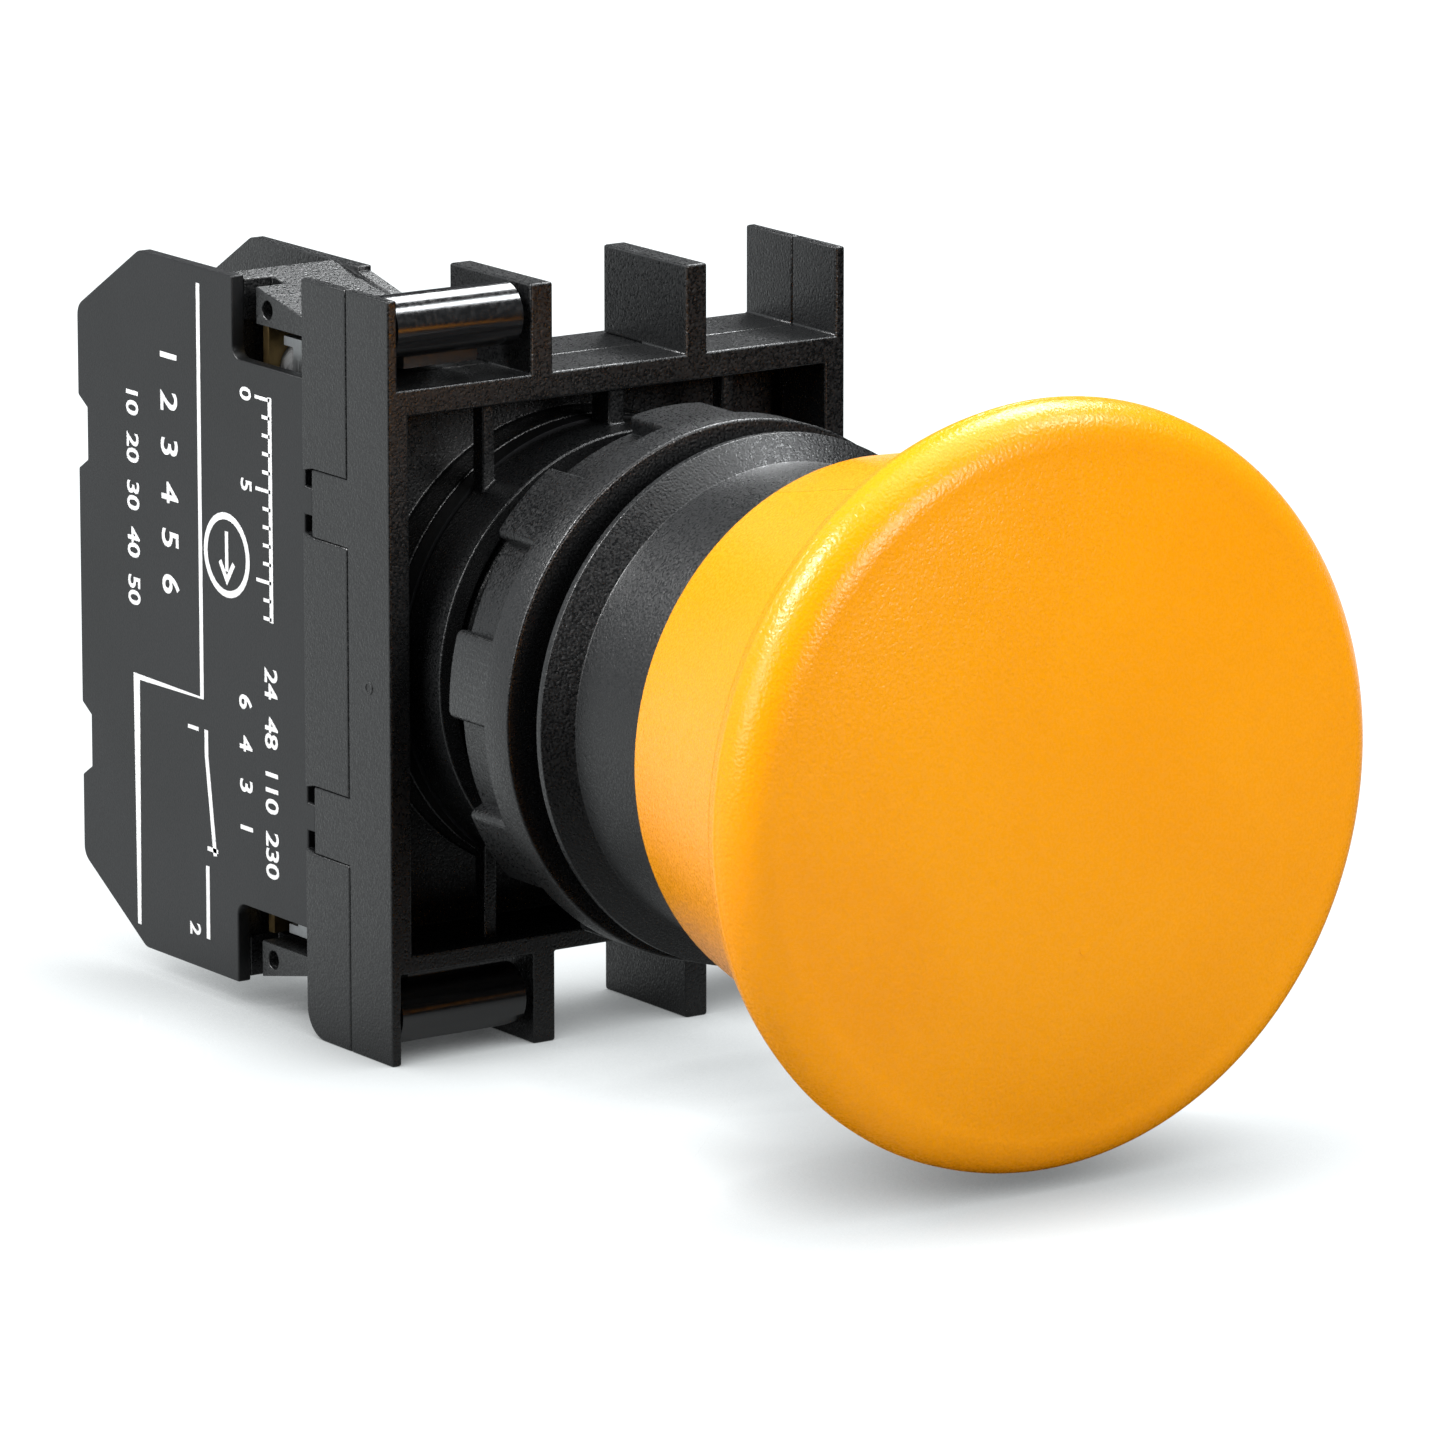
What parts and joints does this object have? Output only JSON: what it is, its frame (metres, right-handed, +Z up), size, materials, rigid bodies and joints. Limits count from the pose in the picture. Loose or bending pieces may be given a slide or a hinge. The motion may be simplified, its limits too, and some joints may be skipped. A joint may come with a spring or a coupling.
{
  "type": "emergency stop push button",
  "caption": "Mushroom-head stop push button for a panel hole, with bezel, ring nut, clip-on holder and a normally closed contact block in the left bay.",
  "frame": {"origin": "on the button's axis, in the plane where the gasket seats on the front of the panel", "axes": "+Y along the push, into the panel; the mushroom faces -Y; +Z up with the holder's fins vertical"},
  "size_m": [0.04, 0.0742, 0.0414],
  "materials": {
    "head_yellow": "fine moulded grain, satin",
    "black_grain": "spark-eroded grain",
    "black_smooth": "smooth matt",
    "black_polished": "polished mould surface",
    "rubber_black": "moulded",
    "stem_white": "natural acetal",
    "plunger_red": "moulded acetal",
    "spring_steel": "drawn wire",
    "zinc_steel": "zinc plated",
    "brass_strip": "rolled strip",
    "silver_tip": "silver alloy"
  },
  "bodies": {
    "housing": {"return_spring": "spring_steel", "bezel_body": "black_grain", "stem_seal": "rubber_black", "panel_gasket": "rubber_black", "lock_nut": "black_grain", "holder_front_frame": "black_grain", "holder_rear_frame": "black_grain", "block_body": "black_grain", "block_side_cover": "black_smooth", "fixed_tips": "silver_tip", "plunger_spring": "spring_steel", "upper_terminal": "brass_strip", "lower_terminal": "brass_strip", "upper_clamp_plate": "zinc_steel", "lower_clamp_plate": "zinc_steel", "upper_snap_bar": "black_polished", "lower_snap_bar": "black_polished"},
    "button": {"mushroom_head": "head_yellow", "head_stem": "stem_white", "stem_clip": "spring_steel"},
    "transfer_plate": {"transfer_plate": "stem_white"},
    "plunger": {"contact_plunger": "plunger_red", "contact_bridge": "brass_strip", "moving_tips": "silver_tip", "contact_spring": "spring_steel"},
    "lock_ring": {"lock_ring": "black_smooth"},
    "upper_screw": {"upper_terminal_screw": "zinc_steel"},
    "lower_screw": {"lower_terminal_screw": "zinc_steel"}
  },
  "joints": [
    {"name": "head_push", "type": "slide", "parent": "housing", "child": "button", "axis": [0, 1, 0], "range_m": [0, 0.005], "stiffness_N_per_m": 2000, "springref_m": -0.004, "deforming": ["return_spring"]},
    {"name": "plate_push", "type": "slide", "parent": "housing", "child": "transfer_plate", "axis": [0, 1, 0], "range_m": [0, 0.005]},
    {"name": "plunger_push", "type": "slide", "parent": "housing", "child": "plunger", "axis": [0, 1, 0], "range_m": [0, 0.005], "stiffness_N_per_m": 300, "springref_m": -0.003, "deforming": ["plunger_spring"]},
    {"name": "lock_ring_turn", "type": "hinge", "parent": "housing", "child": "lock_ring", "pos_m": [0, 0.01505, 0], "axis": [0, 1, 0], "range_deg": [0, 45]},
    {"name": "upper_screw_turn", "type": "hinge", "parent": "housing", "child": "upper_screw", "pos_m": [-0.01046, 0.0294, 0.01445], "axis": [0, 1, 0], "continuous": true},
    {"name": "lower_screw_turn", "type": "hinge", "parent": "housing", "child": "lower_screw", "pos_m": [-0.01046, 0.0294, -0.01405], "axis": [0, 1, 0], "continuous": true}
  ],
  "couplings": [
    {"joint": "plate_push", "follows": "head_push", "ratio": 1},
    {"joint": "plunger_push", "follows": "head_push", "ratio": 1}
  ]
}
